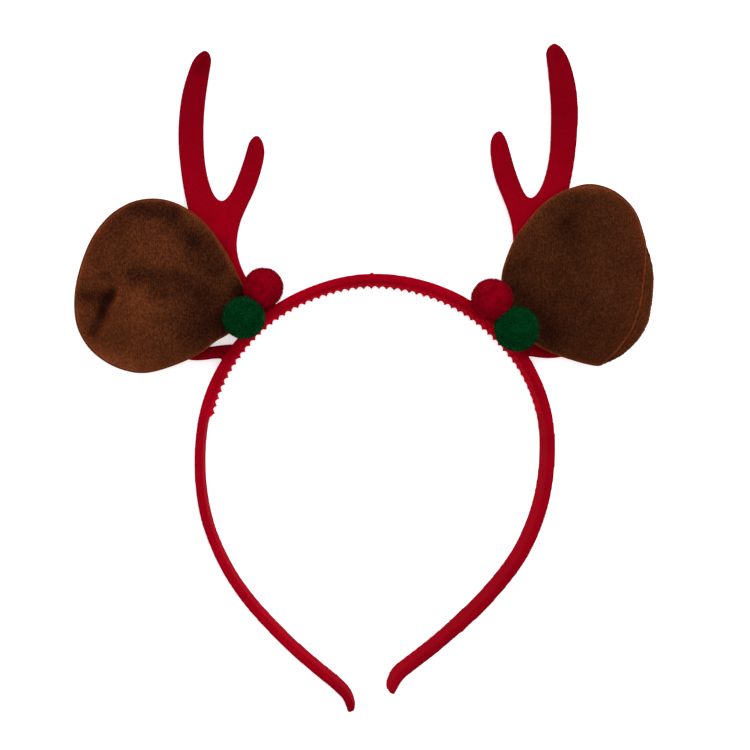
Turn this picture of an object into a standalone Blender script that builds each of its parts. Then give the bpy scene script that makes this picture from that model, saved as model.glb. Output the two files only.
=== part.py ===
"""Antler headband lying on its back: an open hoop with comb teeth and two antlers moulded in one piece,
two padded ears glued over the antler roots and four pompoms glued by the narrow ends of the ears.
Tables and sizes are in millimetres, and the front of the headband faces up."""

import bisect
import math

import bmesh
import bpy
from mathutils import Vector

MM = 0.001
# The parting plane of the moulding: the hoop and the antlers are symmetric about it.
PARTING_Z = 4.75
WALL_LEAN = math.radians(8.8)
RIM_CHAMFER = 0.5
# The box centre of the finished headband in the plane that the tables are measured in.
BOX_CENTRE = (-1.8, -1.985)

# Front outer edge of the hoop from the right tip over the top to the left tip.
# Columns: x, y, depth from rim to rim, wall thickness.
HOOP = [
    (7.3, -112.6, 6.4, 1.60),
    (8.2, -110.4, 7.2, 2.30),
    (9.9, -108.0, 7.8, 2.60),
    (12.7, -105.7, 8.2, 2.55),
    (21.3, -99.3, 8.4, 2.55),
    (30.0, -92.1, 8.5, 2.55),
    (38.4, -84.4, 8.6, 2.55),
    (46.3, -75.9, 8.7, 2.55),
    (53.4, -66.4, 8.9, 2.55),
    (58.7, -55.7, 9.0, 2.55),
    (62.2, -44.3, 9.2, 2.55),
    (63.8, -32.4, 9.2, 2.55),
    (63.7, -20.5, 9.4, 2.55),
    (61.3, -8.8, 9.5, 2.55),
    (55.7, 3.7, 9.5, 2.55),
    (49.1, 12.8, 9.5, 2.55),
    (41.0, 20.6, 9.5, 2.55),
    (31.7, 27.0, 9.5, 2.55),
    (21.5, 31.6, 9.5, 2.55),
    (10.9, 34.4, 9.5, 2.55),
    (-0.2, 35.5, 9.5, 2.55),
    (-11.2, 34.4, 9.5, 2.55),
    (-21.7, 31.4, 9.5, 2.55),
    (-31.5, 26.9, 9.5, 2.55),
    (-40.4, 20.8, 9.5, 2.55),
    (-48.1, 13.1, 9.5, 2.55),
    (-54.4, 4.3, 9.5, 2.55),
    (-59.1, -5.5, 9.5, 2.55),
    (-61.9, -16.0, 9.5, 2.55),
    (-63.0, -27.0, 9.3, 2.55),
    (-62.7, -38.5, 9.0, 2.55),
    (-60.8, -50.0, 8.6, 2.55),
    (-57.1, -60.8, 8.2, 2.55),
    (-51.9, -71.2, 8.1, 2.55),
    (-45.3, -80.8, 8.0, 2.55),
    (-37.7, -89.6, 7.9, 2.55),
    (-29.7, -97.9, 7.9, 2.55),
    (-21.0, -105.8, 8.0, 2.55),
    (-15.4, -110.6, 8.1, 2.55),
    (-11.8, -114.3, 8.0, 2.50),
    (-10.1, -117.7, 7.4, 2.40),
    (-9.2, -119.7, 6.4, 1.60),
]
HOOP_STEPS = 2

# Comb teeth run between these two rows of HOOP, one cusp a pitch.
COMB_ROWS = (12.6, 27.75)
TOOTH_PITCH = 2.8
TOOTH_HEIGHT = 1.9
COMB_HALF_DEPTH = 1.6
COMB_ROOT = 0.6
TOOTH_TAPER = 0.5
# Points along the inner wall by which its length is measured.
COMB_SAMPLES = 400
# One pitch of the comb, from valley to valley. Columns: share of the pitch, share of the tooth height.
CUSP = [(0.0, 0.5), (0.3, 0.6), (0.5, 1.0), (0.7, 0.6)]

ANTLER_THICKNESS = 3.2
# How far the edge draws in at each level of the antler's thickness. Columns: share of the thickness, inset.
ANTLER_EDGE = [(-0.5, 0.8), (-0.33, 0.15), (0.0, -0.1), (0.33, 0.15), (0.5, 0.8)]
# Outlines of the main beam with its inner tine, and of the low outer tine, each rooted in the hoop's wall.
BEAM_LEFT = [
    (-34.6, 24.6), (-38.2, 26.0), (-42.4, 29.8), (-45.0, 34.4), (-47.2, 39.8), (-48.0, 45.7),
    (-46.9, 52.5), (-44.6, 58.2), (-42.0, 63.6), (-39.8, 69.8), (-38.3, 76.4), (-39.0, 80.8),
    (-40.9, 82.7), (-43.2, 80.6), (-44.8, 75.5), (-46.8, 69.7), (-49.2, 64.0), (-51.5, 60.9),
    (-53.1, 60.3), (-54.8, 61.2), (-56.6, 64.4), (-58.2, 70.4), (-59.0, 78.0), (-59.0, 87.3),
    (-58.3, 95.1), (-57.1, 103.0), (-56.3, 108.6), (-58.2, 111.3), (-61.8, 108.6), (-64.2, 103.0),
    (-66.0, 96.6), (-67.1, 89.0), (-67.4, 81.0), (-66.9, 73.0), (-65.6, 63.4), (-63.6, 55.0),
    (-60.4, 46.6), (-57.0, 38.0), (-54.2, 28.6), (-51.6, 21.8), (-49.4, 17.2), (-47.6, 14.2),
    (-45.6, 13.8), (-43.0, 16.6), (-39.4, 19.9), (-36.4, 22.3),
]
TINE_LEFT = [
    (-48.9, 10.6), (-53.2, 10.6), (-58.0, 10.0), (-62.8, 10.0), (-67.0, 12.4), (-69.8, 17.0),
    (-71.2, 22.2), (-72.9, 24.6), (-74.9, 22.8), (-74.4, 17.0), (-71.6, 10.8), (-68.0, 7.3),
    (-64.1, 5.8), (-60.0, 5.7), (-56.0, 6.2), (-52.8, 6.4), (-50.6, 7.6),
]
BEAM_RIGHT = [
    (35.0, 23.9), (38.4, 25.2), (42.6, 28.6), (45.9, 32.8), (48.3, 38.4), (49.3, 44.0),
    (49.0, 51.0), (47.4, 57.2), (45.2, 62.6), (43.0, 68.0), (41.5, 74.0), (41.0, 80.2),
    (42.0, 83.8), (44.2, 85.0), (46.2, 82.2), (47.6, 77.9), (49.2, 72.5), (51.3, 66.8),
    (53.4, 62.8), (55.4, 61.8), (57.6, 63.2), (59.7, 66.8), (61.3, 72.1), (62.3, 78.7),
    (62.6, 86.0), (62.6, 92.3), (62.1, 99.3), (61.3, 107.0), (60.7, 112.9), (63.2, 115.6),
    (66.4, 113.4), (68.5, 109.6), (70.2, 104.2), (71.4, 98.0), (71.8, 90.5), (71.4, 82.5),
    (70.6, 74.6), (69.0, 65.8), (66.4, 56.4), (62.8, 47.6), (59.2, 38.6), (56.4, 29.0),
    (53.6, 21.4), (50.8, 16.6), (48.4, 13.4), (46.0, 13.4), (43.3, 16.2), (39.6, 19.6),
    (36.6, 22.0),
]
TINE_RIGHT = [
    (49.4, 9.9), (52.0, 10.4), (55.4, 10.2), (60.4, 9.6), (65.0, 9.8), (69.0, 12.4),
    (71.6, 17.2), (72.8, 22.4), (74.6, 24.8), (76.6, 23.0), (76.2, 16.8), (73.4, 10.4),
    (69.6, 7.0), (66.0, 5.8), (61.8, 5.5), (58.3, 5.8), (54.9, 6.3), (52.6, 6.2), (50.6, 7.6),
]
OUTLINE_STEPS = 2
INSET_SHARE = 0.35

# Small stub of the moulding gate, proud of the outer wall at the top centre.
GATE_X = -0.9
GATE_RADIUS = 0.75
GATE_REACH = 0.4
GATE_ROOT = 0.8
GATE_CORNERS = 8

# Pompoms, three glued to the front rim and the red left one to the antler. The glued side is flat.
# Columns: name, x, y, radius, height of the flat side, how far it is pressed in.
POMPOMS = [
    ("pompom_red_left", -39.2, 30.7, 7.0, 6.7, 0.9),
    ("pompom_green_left", -46.0, 20.6, 7.3, 9.85, 1.7),
    ("pompom_red_right", 39.6, 26.6, 7.3, 9.85, 2.0),
    ("pompom_green_right", 48.2, 16.4, 7.9, 9.85, 1.2),
]
POMPOM_GAP = 0.35
TUFTS = 46
TUFT_HEIGHT = 0.45

EAR_SEAM_HALF = 0.4
EAR_REST_Z = PARTING_Z + ANTLER_THICKNESS / 2 + 0.35
EAR_GAP = 0.35
# Share of the way from the middle of the ear to its outline.
EAR_RINGS = [0.965, 0.89, 0.78, 0.64, 0.48, 0.3, 0.14]
EAR_LEFT = [
    (-78.0, 61.0), (-84.4, 59.4), (-91.0, 55.3), (-96.5, 48.4), (-100.3, 40.2), (-102.7, 31.1),
    (-103.3, 22.6), (-101.9, 15.7), (-97.9, 9.3), (-91.9, 4.6), (-85.5, 2.2), (-79.6, 1.6),
    (-73.4, 2.9), (-66.3, 5.4), (-60.2, 8.6), (-55.6, 12.2), (-51.6, 14.2), (-47.8, 16.8),
    (-45.0, 20.4), (-43.6, 24.6), (-44.4, 28.6), (-46.4, 32.4), (-50.0, 39.5), (-54.0, 46.6),
    (-58.9, 52.9), (-65.2, 57.8), (-71.6, 60.4),
]
EAR_RIGHT = [
    (75.9, 66.6), (69.0, 65.4), (62.4, 62.2), (56.8, 57.6), (52.4, 52.4), (49.2, 47.8),
    (46.8, 42.0), (45.0, 36.6), (44.2, 31.6), (44.6, 26.4), (46.8, 21.4), (50.2, 16.6),
    (54.2, 12.2), (58.8, 9.1), (63.9, 7.0), (69.3, 5.2), (74.7, 3.6), (79.6, 2.8),
    (84.6, 4.6), (89.6, 8.1), (94.0, 12.5), (97.2, 17.8), (99.1, 24.4), (99.7, 31.0),
    (99.4, 36.8), (98.0, 42.6), (95.8, 48.4), (93.0, 56.0), (89.2, 60.9), (83.3, 64.9),
]
# Droop of the outer half: x where it starts and ends, and how far it falls. Rises of the two faces above the seam.
EARS = {
    "ear_left": {
        "outline": EAR_LEFT, "middle": (-76.5, 31.0), "neck": (-44.5, 22.5),
        "droop": (-74.0, -100.0, 3.6), "front": 5.6, "back": 2.2, "seam_lift": 2.3,
    },
    "ear_right": {
        "outline": EAR_RIGHT, "middle": (74.0, 34.0), "neck": (45.5, 26.0),
        "droop": (76.0, 101.0, 2.4), "front": 5.4, "back": 2.6, "seam_lift": 2.7,
    },
}
# Dents of the front face. Columns: ear, x and y at both ends, depth, half width.
DENTS = [
    ("ear_left", -88.4, 31.2, -100.2, 28.0, 1.7, 3.4),
    ("ear_left", -88.4, 31.2, -97.4, 15.6, 2.1, 3.0),
    ("ear_left", -93.6, 34.6, -91.4, 34.2, 0.7, 2.2),
    ("ear_left", -81.5, 56.8, -64.0, 46.6, 1.2, 4.2),
    ("ear_left", -64.0, 46.6, -61.4, 40.0, 0.9, 4.0),
    ("ear_left", -86.6, 33.8, -68.0, 35.4, 0.8, 3.4),
    ("ear_left", -84.0, 13.4, -70.0, 19.4, 0.6, 3.0),
    ("ear_right", 69.0, 55.6, 71.6, 44.0, 0.6, 5.0),
    ("ear_right", 61.0, 12.6, 64.6, 26.0, 0.8, 4.6),
]

# Columns: surface name, red, green, blue in linear light, roughness.
SURFACES = {
    "flock_red": (0.38, 0.0, 0.008, 0.92),
    "velour_brown": (0.075, 0.022, 0.007, 0.9),
    "pompom_red": (0.26, 0.0, 0.006, 0.95),
    "pompom_green": (0.0, 0.05, 0.012, 0.95),
}


def clear_scene():
    for item in list(bpy.data.objects):
        bpy.data.objects.remove(item)


def collection(name, helper):
    made = bpy.data.collections.new(name)
    bpy.context.scene.collection.children.link(made)
    made.hide_render = helper
    return made


def surface(name, label):
    """One material of an object, in the colour of a named surface."""
    red, green, blue, roughness = SURFACES[name]
    material = bpy.data.materials.new(label)
    material.use_nodes = True
    shader = material.node_tree.nodes["Principled BSDF"]
    shader.inputs["Base Color"].default_value = (red, green, blue, 1.0)
    shader.inputs["Roughness"].default_value = roughness
    return material


def placed(point):
    x, y, z = point
    return ((x - BOX_CENTRE[0]) * MM, (y - BOX_CENTRE[1]) * MM, z * MM)


def write_mesh(name, shape, home):
    """An object from a bmesh in millimetres, with its normals facing out."""
    bmesh.ops.recalc_face_normals(shape, faces=shape.faces[:])
    for vertex in shape.verts:
        vertex.co = placed(vertex.co)
    mesh = bpy.data.meshes.new(name)
    shape.to_mesh(mesh)
    shape.free()
    made = bpy.data.objects.new(name, mesh)
    home.objects.link(made)
    return made


def blend(rows, span, share, closed):
    """A row between rows span and span + 1 of a table, on a smooth curve through all of them."""
    count = len(rows)
    picks = []
    for offset in (-1, 0, 1, 2):
        index = span + offset
        picks.append(rows[index % count] if closed else rows[max(0, min(count - 1, index))])
    values = []
    for before, start, end, after in zip(*picks):
        slope_in = (end - before) / 2
        slope_out = (after - start) / 2
        cubic = 2 * start - 2 * end + slope_in + slope_out
        square = 3 * end - 3 * start - 2 * slope_in - slope_out
        values.append(((cubic * share + square) * share + slope_in) * share + start)
    return tuple(values)


def smooth_loop(rows, steps):
    return [blend(rows, span, step / steps, True) for span in range(len(rows)) for step in range(steps)]


def loft(rings, closed_end):
    """A tube through rings of equal length. Ends are capped, or drawn to a point when closed_end names one."""
    shape = bmesh.new()
    levels = [[shape.verts.new(point) for point in ring] for ring in rings]
    for lower, upper in zip(levels, levels[1:]):
        for index in range(len(lower)):
            after = (index + 1) % len(lower)
            shape.faces.new((lower[index], lower[after], upper[after], upper[index]))
    ends = ((levels[0], 0), (levels[-1], 1))
    for ring, side in ends:
        if closed_end is None:
            shape.faces.new(ring)
            continue
        tip = shape.verts.new(closed_end[side])
        for index in range(len(ring)):
            shape.faces.new((ring[index], ring[(index + 1) % len(ring)], tip))
    return shape


def hoop_row(position):
    """The hoop's row at a fractional row number, with its inward direction."""
    span = min(int(position), len(HOOP) - 2)
    share = position - span
    x, y, depth, wall = blend(HOOP, span, share, False)
    ahead = blend(HOOP, span, min(1.0, share + 0.02), False)
    behind = blend(HOOP, span, max(0.0, share - 0.02), False)
    along = Vector((ahead[0] - behind[0], ahead[1] - behind[1])).normalized()
    return x, y, min(depth, 2 * PARTING_Z), wall, Vector((-along.y, along.x))


def hoop_point(row, inward, height):
    """A point of the hoop's section: inward from the leaning outer wall, at a height above the parting plane."""
    x, y, depth, _, inside = row
    reach = inward + (depth / 2 - height) * math.tan(WALL_LEAN)
    return (x + inside.x * reach, y + inside.y * reach, PARTING_Z + height)


def make_hoop(home):
    rings = []
    for step in range((len(HOOP) - 1) * HOOP_STEPS + 1):
        row = hoop_row(step / HOOP_STEPS)
        _, _, depth, wall, _ = row
        half = depth / 2
        cut = min(RIM_CHAMFER, wall / 3)
        section = [
            (cut, -half), (wall - cut, -half), (wall, cut - half), (wall, half - cut),
            (wall - cut, half), (cut, half), (0.0, half - cut), (0.0, cut - half),
        ]
        rings.append([hoop_point(row, inward, height) for inward, height in section])
    return write_mesh("band_with_antlers", loft(rings, None), home)


def comb_places():
    """Fractional row numbers of the hoop under the marks of the comb, with the rise of each mark."""
    first, last = COMB_ROWS
    fine = [first + (last - first) * index / COMB_SAMPLES for index in range(COMB_SAMPLES + 1)]
    inner = []
    for place in fine:
        row = hoop_row(place)
        inner.append(Vector(hoop_point(row, row[3], 0.0)))
    length = [0.0]
    for start, end in zip(inner, inner[1:]):
        length.append(length[-1] + (end - start).length)
    teeth = round(length[-1] / TOOTH_PITCH)
    pitch = length[-1] / teeth
    marks = [((tooth + share) * pitch, rise) for tooth in range(teeth) for share, rise in CUSP]
    marks.append((length[-1], CUSP[0][1]))
    places = []
    for target, rise in marks:
        index = min(bisect.bisect_right(length, target), COMB_SAMPLES) - 1
        part = (target - length[index]) / (length[index + 1] - length[index])
        places.append((fine[index] + (fine[index + 1] - fine[index]) * part, rise))
    return places


def make_comb(home):
    """The row of teeth along the middle of the inner wall, rooted inside the wall."""
    rings = []
    for place, rise in comb_places():
        row = hoop_row(place)
        root = row[3] - COMB_ROOT
        top = row[3] + rise * TOOTH_HEIGHT
        narrow = COMB_HALF_DEPTH - TOOTH_TAPER * rise
        rings.append([
            hoop_point(row, root, -COMB_HALF_DEPTH), hoop_point(row, top, -narrow),
            hoop_point(row, top, narrow), hoop_point(row, root, COMB_HALF_DEPTH),
        ])
    return write_mesh("comb", loft(rings, None), home)


def inset_loop(points, inset):
    """The loop drawn in by a distance along its normals, and by less round tight corners."""
    area = sum(a[0] * b[1] - b[0] * a[1] for a, b in zip(points, points[1:] + points[:1]))
    turn = 1 if area > 0 else -1
    moved = []
    for index, (x, y) in enumerate(points):
        before = points[index - 1]
        after = points[(index + 1) % len(points)]
        across = Vector((after[0] - before[0], after[1] - before[1]))
        along = across.normalized()
        drawn = turn * min(inset, INSET_SHARE * across.length)
        moved.append((x - along.y * drawn, y + along.x * drawn))
    return moved


def make_antler(name, outline, home):
    loop = smooth_loop(outline, OUTLINE_STEPS)
    rings = []
    for share, inset in ANTLER_EDGE:
        height = PARTING_Z + share * ANTLER_THICKNESS
        rings.append([(x, y, height) for x, y in inset_loop(loop, inset)])
    return write_mesh(name, loft(rings, None), home)


def make_gate(home):
    """A short stub standing on the outer wall at the top centre."""
    top = min(HOOP, key=lambda row: abs(row[0]))
    wall_y = top[1] - (top[2] / 2) * math.tan(WALL_LEAN)
    rings = []
    for y in (wall_y - GATE_ROOT, wall_y + GATE_REACH):
        ring = []
        for corner in range(GATE_CORNERS):
            angle = math.tau * corner / GATE_CORNERS
            x = GATE_X + GATE_RADIUS * math.cos(angle)
            ring.append((x, y, PARTING_Z + GATE_RADIUS * math.sin(angle)))
        rings.append(ring)
    return write_mesh("gate", loft(rings, None), home)


def join(target, other):
    modifier = target.modifiers.new("join " + other.name, "BOOLEAN")
    modifier.operation = "UNION"
    modifier.solver = "EXACT"
    modifier.object = other
    other.display_type = "WIRE"
    other.hide_render = True


def ease(share):
    """A smooth step from 0 to 1."""
    share = max(0.0, min(1.0, share))
    return share * share * (3 - 2 * share)


def pompom_centre(pompom):
    _, x, y, radius, base, pressed = pompom
    return Vector((x, y, base + radius - pressed))


def segment_distance(x, y, dent):
    _, x1, y1, x2, y2, _, _ = dent
    along = Vector((x2 - x1, y2 - y1))
    share = (Vector((x - x1, y - y1)).dot(along)) / along.length_squared
    nearest = Vector((x1, y1)) + along * max(0.0, min(1.0, share))
    return (Vector((x, y)) - nearest).length


def dent_depth(name, x, y):
    """How far the dents of one ear press its front face in at a point."""
    total = 0.0
    for dent in DENTS:
        if dent[0] == name:
            depth, half_width = dent[5], dent[6]
            total = max(total, depth * math.exp(-((segment_distance(x, y, dent) / half_width) ** 2)))
    return total


def under_pompoms(x, y, height):
    """The height, lowered where a pompom presses on the ear."""
    for pompom in POMPOMS:
        centre = pompom_centre(pompom)
        reach = pompom[3] + EAR_GAP + TUFT_HEIGHT
        away = (Vector((x, y)) - centre.xy).length
        if away < reach:
            below = centre.z - math.sqrt(reach * reach - away * away)
            height = min(height, max(below, pompom[4] - EAR_GAP))
    return height


def ear_heights(name, ear, x, y, share):
    """Front and back heights of the ear at a point, a share of the way out to its outline."""
    start, end, fall = ear["droop"]
    rest = EAR_REST_Z - fall * ease((x - start) / (end - start))
    neck = (Vector((x, y)) - Vector(ear["neck"])).length
    plump = 0.12 + 0.88 * ease((neck - 3.0) / 26.0)
    seam = rest + 1.0 + (ear["seam_lift"] - 1.0) * plump
    arch = math.sqrt(max(0.0, 1.0 - share ** 2.4))
    front = seam + EAR_SEAM_HALF + ear["front"] * arch * plump
    front -= dent_depth(name, x, y) * min(1.0, 2.2 * arch)
    back = max(rest, seam - EAR_SEAM_HALF - ear["back"] * arch)
    front = under_pompoms(x, y, front)
    return max(front, back + 2 * EAR_SEAM_HALF), back


def make_ear(name, ear, home):
    loop = smooth_loop(ear["outline"], 2)
    centre_x, centre_y = ear["middle"]
    fronts = []
    backs = []
    for share in [1.0] + EAR_RINGS:
        front_ring = []
        back_ring = []
        for outline_x, outline_y in loop:
            x = centre_x + (outline_x - centre_x) * share
            y = centre_y + (outline_y - centre_y) * share
            front, back = ear_heights(name, ear, x, y, share)
            front_ring.append((x, y, front))
            back_ring.append((x, y, back))
        fronts.append(front_ring)
        backs.append(back_ring)
    front, back = ear_heights(name, ear, centre_x, centre_y, 0.0)
    ends = ((centre_x, centre_y, back), (centre_x, centre_y, front))
    made = write_mesh(name, loft(backs[::-1] + fronts, ends), home)
    made.data.materials.append(surface("velour_brown", name + "_velour"))
    return made


def tuft_directions():
    """Directions spread evenly round a ball."""
    spread = []
    for index in range(TUFTS):
        height = 1 - (2 * index + 1) / TUFTS
        turn = index * math.pi * (3 - math.sqrt(5))
        flat = math.sqrt(1 - height * height)
        spread.append(Vector((flat * math.cos(turn), flat * math.sin(turn), height)))
    return spread


def make_pompom(pompom, home):
    """A ball of fused tufts, flat where it is glued down and where it meets its neighbour."""
    name, _, _, radius, base, _ = pompom
    centre = pompom_centre(pompom)
    spread = tuft_directions()
    shape = bmesh.new()
    bmesh.ops.create_icosphere(shape, subdivisions=3, radius=1.0)
    for vertex in shape.verts:
        out = vertex.co.normalized()
        nearest = max(out.dot(tuft) for tuft in spread)
        bump = TUFT_HEIGHT * (ease((nearest - 0.9) / 0.1) - 0.5)
        vertex.co = centre + out * (radius + bump)
        vertex.co.z = max(vertex.co.z, base)
        for other in POMPOMS:
            press_apart(vertex, centre, radius, other, name)
    made = write_mesh(name, shape, home)
    colour = "pompom_red" if "red" in name else "pompom_green"
    made.data.materials.append(surface(colour, name + "_pile"))
    return made


def press_apart(vertex, centre, radius, other, name):
    """Flattens a pompom against the plane halfway to a neighbour."""
    if other[0] == name:
        return
    between = pompom_centre(other) - centre
    if between.length > radius + other[3] + 2 * TUFT_HEIGHT:
        return
    toward = between.normalized()
    middle = between.length * radius / (radius + other[3]) - POMPOM_GAP / 2
    beyond = (vertex.co - centre).dot(toward) - middle
    if beyond > 0:
        vertex.co -= toward * beyond


def shade(made, angle):
    made.data.shade_smooth()
    made.data.set_sharp_from_angle(angle=math.radians(angle))


def main():
    clear_scene()
    headband = collection("antler_headband", False)
    joined = collection("moulding_parts", True)
    band = make_hoop(headband)
    band.data.materials.append(surface("flock_red", "band_with_antlers_flock"))
    for other in (
        make_antler("beam_left", BEAM_LEFT, joined),
        make_antler("tine_left", TINE_LEFT, joined),
        make_antler("beam_right", BEAM_RIGHT, joined),
        make_antler("tine_right", TINE_RIGHT, joined),
        make_comb(joined),
        make_gate(joined),
    ):
        join(band, other)
    shade(band, 38)
    for name, ear in EARS.items():
        shade(make_ear(name, ear, headband), 60)
    for pompom in POMPOMS:
        shade(make_pompom(pompom, headband), 80)


main()
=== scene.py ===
"""Dressing of the antler headband: flocked moulding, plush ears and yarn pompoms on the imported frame.
Tables are in millimetres, measured from the same point as the part's own tables."""

import bisect
import math

import bmesh
import bpy
from mathutils import Matrix, Vector, noise
from mathutils.bvhtree import BVHTree


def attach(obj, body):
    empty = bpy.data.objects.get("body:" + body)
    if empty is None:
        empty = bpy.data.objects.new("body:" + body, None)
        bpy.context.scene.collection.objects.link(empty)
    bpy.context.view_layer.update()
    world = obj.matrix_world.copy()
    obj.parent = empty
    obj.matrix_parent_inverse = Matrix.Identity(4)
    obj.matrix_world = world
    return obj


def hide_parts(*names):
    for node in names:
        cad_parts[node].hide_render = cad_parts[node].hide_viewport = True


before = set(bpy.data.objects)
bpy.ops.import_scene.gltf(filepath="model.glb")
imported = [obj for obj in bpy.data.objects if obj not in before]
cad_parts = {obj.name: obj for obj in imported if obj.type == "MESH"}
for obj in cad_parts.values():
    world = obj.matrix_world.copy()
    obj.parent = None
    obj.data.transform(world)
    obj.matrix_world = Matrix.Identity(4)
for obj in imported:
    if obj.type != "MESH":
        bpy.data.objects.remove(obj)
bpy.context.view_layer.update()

MM = 0.001
BOX_CENTRE = (-1.8, -1.985)
PARTING_Z = 4.75
WALL_LEAN = math.radians(8.8)

# Front outer edge of the hoop from the right tip over the top to the left tip.
# Columns: x, y, depth from rim to rim, wall thickness.
HOOP = [
    (6.8, -113.8, 5.8, 1.70), (8.0, -111.2, 7.0, 2.55), (9.9, -108.0, 7.8, 2.60),
    (12.7, -105.7, 8.2, 2.55), (21.3, -99.3, 8.4, 2.55), (30.0, -92.1, 8.5, 2.55),
    (38.4, -84.4, 8.6, 2.55), (46.3, -75.9, 8.7, 2.55), (53.4, -66.4, 8.9, 2.55),
    (58.7, -55.7, 9.0, 2.55), (62.2, -44.3, 9.2, 2.55), (63.8, -32.4, 9.2, 2.55),
    (63.7, -20.5, 9.4, 2.55), (61.3, -8.8, 9.5, 2.55), (55.7, 3.7, 9.5, 2.55), (49.1, 12.8, 9.5, 2.55),
    (41.0, 20.6, 9.5, 2.55), (31.7, 27.0, 9.5, 2.55), (21.5, 31.6, 9.5, 2.55), (10.9, 34.4, 9.5, 2.55),
    (-0.2, 35.5, 9.5, 2.55), (-11.2, 34.4, 9.5, 2.55), (-21.7, 31.4, 9.5, 2.55),
    (-31.5, 26.9, 9.5, 2.55), (-40.4, 20.8, 9.5, 2.55), (-48.1, 13.1, 9.5, 2.55),
    (-54.4, 4.3, 9.5, 2.55), (-59.1, -5.5, 9.5, 2.55), (-61.9, -16.0, 9.5, 2.55),
    (-63.0, -27.0, 9.3, 2.55), (-62.7, -38.5, 9.0, 2.55), (-60.8, -50.0, 8.6, 2.55),
    (-57.1, -60.8, 8.2, 2.55), (-51.9, -71.2, 8.1, 2.55), (-45.3, -80.8, 8.0, 2.55),
    (-37.7, -89.6, 7.9, 2.55), (-29.7, -97.9, 7.9, 2.55), (-21.0, -105.8, 8.0, 2.55),
    (-15.4, -110.6, 8.1, 2.55), (-11.8, -114.3, 8.0, 2.50), (-10.4, -117.6, 7.4, 2.60),
    (-9.8, -119.7, 6.2, 2.30),
]
HOOP_STEPS = 8
# How far to both sides, in rows, the hoop's direction is taken.
HOOP_LOOK = 0.02

COMB_ROWS = (12.6, 27.75)
TOOTH_PITCH = 2.8
# How far the valleys and the points of the comb stand off the inner wall.
COMB_VALLEY = 0.8
COMB_POINT = 1.85
COMB_HALF_DEPTH = 3.0
COMB_ROOT = 0.6
# How much nearer to the middle each side of a tooth lies at its point.
COMB_TAPER = 0.5
# Rings drawn for each tooth, and steps that measure the comb's length.
COMB_MARKS = 12
COMB_SAMPLES = 600
# The comb grows shallow towards its right end: from which row, over how many rows, and by what share.
COMB_FADE = (15.0, 1.6, 0.5)

ANTLER_THICKNESS = 3.2
BEAM_LEFT = [
    (-34.6, 24.6), (-38.2, 26.0), (-42.4, 29.8), (-45.0, 34.4), (-47.2, 39.8), (-48.0, 45.7),
    (-46.9, 52.5), (-44.6, 58.2), (-42.0, 63.6), (-39.8, 69.8), (-38.3, 76.4), (-39.0, 80.8),
    (-40.9, 82.7), (-43.2, 80.6), (-44.8, 75.5), (-46.8, 69.7), (-49.2, 64.0), (-51.5, 60.9),
    (-53.1, 60.3), (-54.8, 61.2), (-56.6, 64.4), (-58.2, 70.4), (-59.0, 78.0), (-59.0, 87.3),
    (-58.3, 95.1), (-57.1, 103.0), (-56.3, 108.6), (-58.2, 111.3), (-61.8, 108.6), (-64.2, 103.0),
    (-66.0, 96.6), (-67.1, 89.0), (-67.4, 81.0), (-66.9, 73.0), (-65.6, 63.4), (-63.6, 55.0),
    (-60.4, 46.6), (-57.0, 38.0), (-54.2, 28.6), (-51.6, 21.8), (-49.4, 17.2), (-47.6, 14.2),
    (-45.6, 13.8), (-43.0, 16.6), (-39.4, 19.9), (-36.4, 22.3),
]
TINE_LEFT = [
    (-48.9, 10.6), (-53.2, 10.6), (-58.0, 10.0), (-62.8, 10.0), (-67.0, 12.4), (-69.8, 17.0),
    (-71.2, 22.2), (-72.9, 24.6), (-74.9, 22.8), (-74.4, 17.0), (-71.6, 10.8), (-68.0, 7.3),
    (-64.1, 5.8), (-60.0, 5.7), (-56.0, 6.2), (-52.8, 6.4), (-50.6, 7.6),
]
BEAM_RIGHT = [
    (35.0, 23.9), (38.4, 25.2), (42.6, 28.6), (45.9, 32.8), (48.3, 38.4), (49.3, 44.0),
    (49.0, 51.0), (47.4, 57.2), (45.2, 62.6), (43.0, 68.0), (41.5, 74.0), (41.0, 80.2),
    (42.0, 83.8), (44.2, 85.0), (46.2, 82.2), (47.6, 77.9), (49.2, 72.5), (51.3, 66.8),
    (53.4, 62.8), (55.4, 61.8), (57.6, 63.2), (59.7, 66.8), (61.3, 72.1), (62.3, 78.7),
    (62.6, 86.0), (62.6, 92.3), (62.1, 99.3), (61.3, 107.0), (60.7, 112.9), (63.2, 115.6),
    (66.4, 113.4), (68.5, 109.6), (70.2, 104.2), (71.4, 98.0), (71.8, 90.5), (71.4, 82.5),
    (70.6, 74.6), (69.0, 65.8), (66.4, 56.4), (62.8, 47.6), (59.2, 38.6), (56.4, 29.0),
    (53.6, 21.4), (50.8, 16.6), (48.4, 13.4), (46.0, 13.4), (43.3, 16.2), (39.6, 19.6),
    (36.6, 22.0),
]
TINE_RIGHT = [
    (49.4, 9.9), (52.0, 11.6), (55.4, 11.9), (60.4, 10.6), (65.0, 9.8), (69.0, 12.4),
    (71.6, 17.2), (72.8, 22.4), (74.6, 24.8), (76.6, 23.0), (76.2, 16.8), (73.4, 10.4),
    (69.6, 7.0), (66.0, 5.8), (61.8, 5.5), (58.3, 5.8), (54.9, 6.3), (52.6, 6.2), (50.6, 7.6),
]
OUTLINE_STEPS = 4
# The gate's stub: x, y, radius, length, and the share of its radius that is left at its end.
GATE = (-0.9, 36.0, 0.75, 2.4, 0.8)
# Grain of the fused moulding: fine enough for its edges, coarse enough to stay under the triangle limit.
FLOCK_VOXEL = 0.5
FLOCK_ROUNDS = 4
# How far the flock stands out from the moulding's walls.
FLOCK_FILL = 0.15

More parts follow.
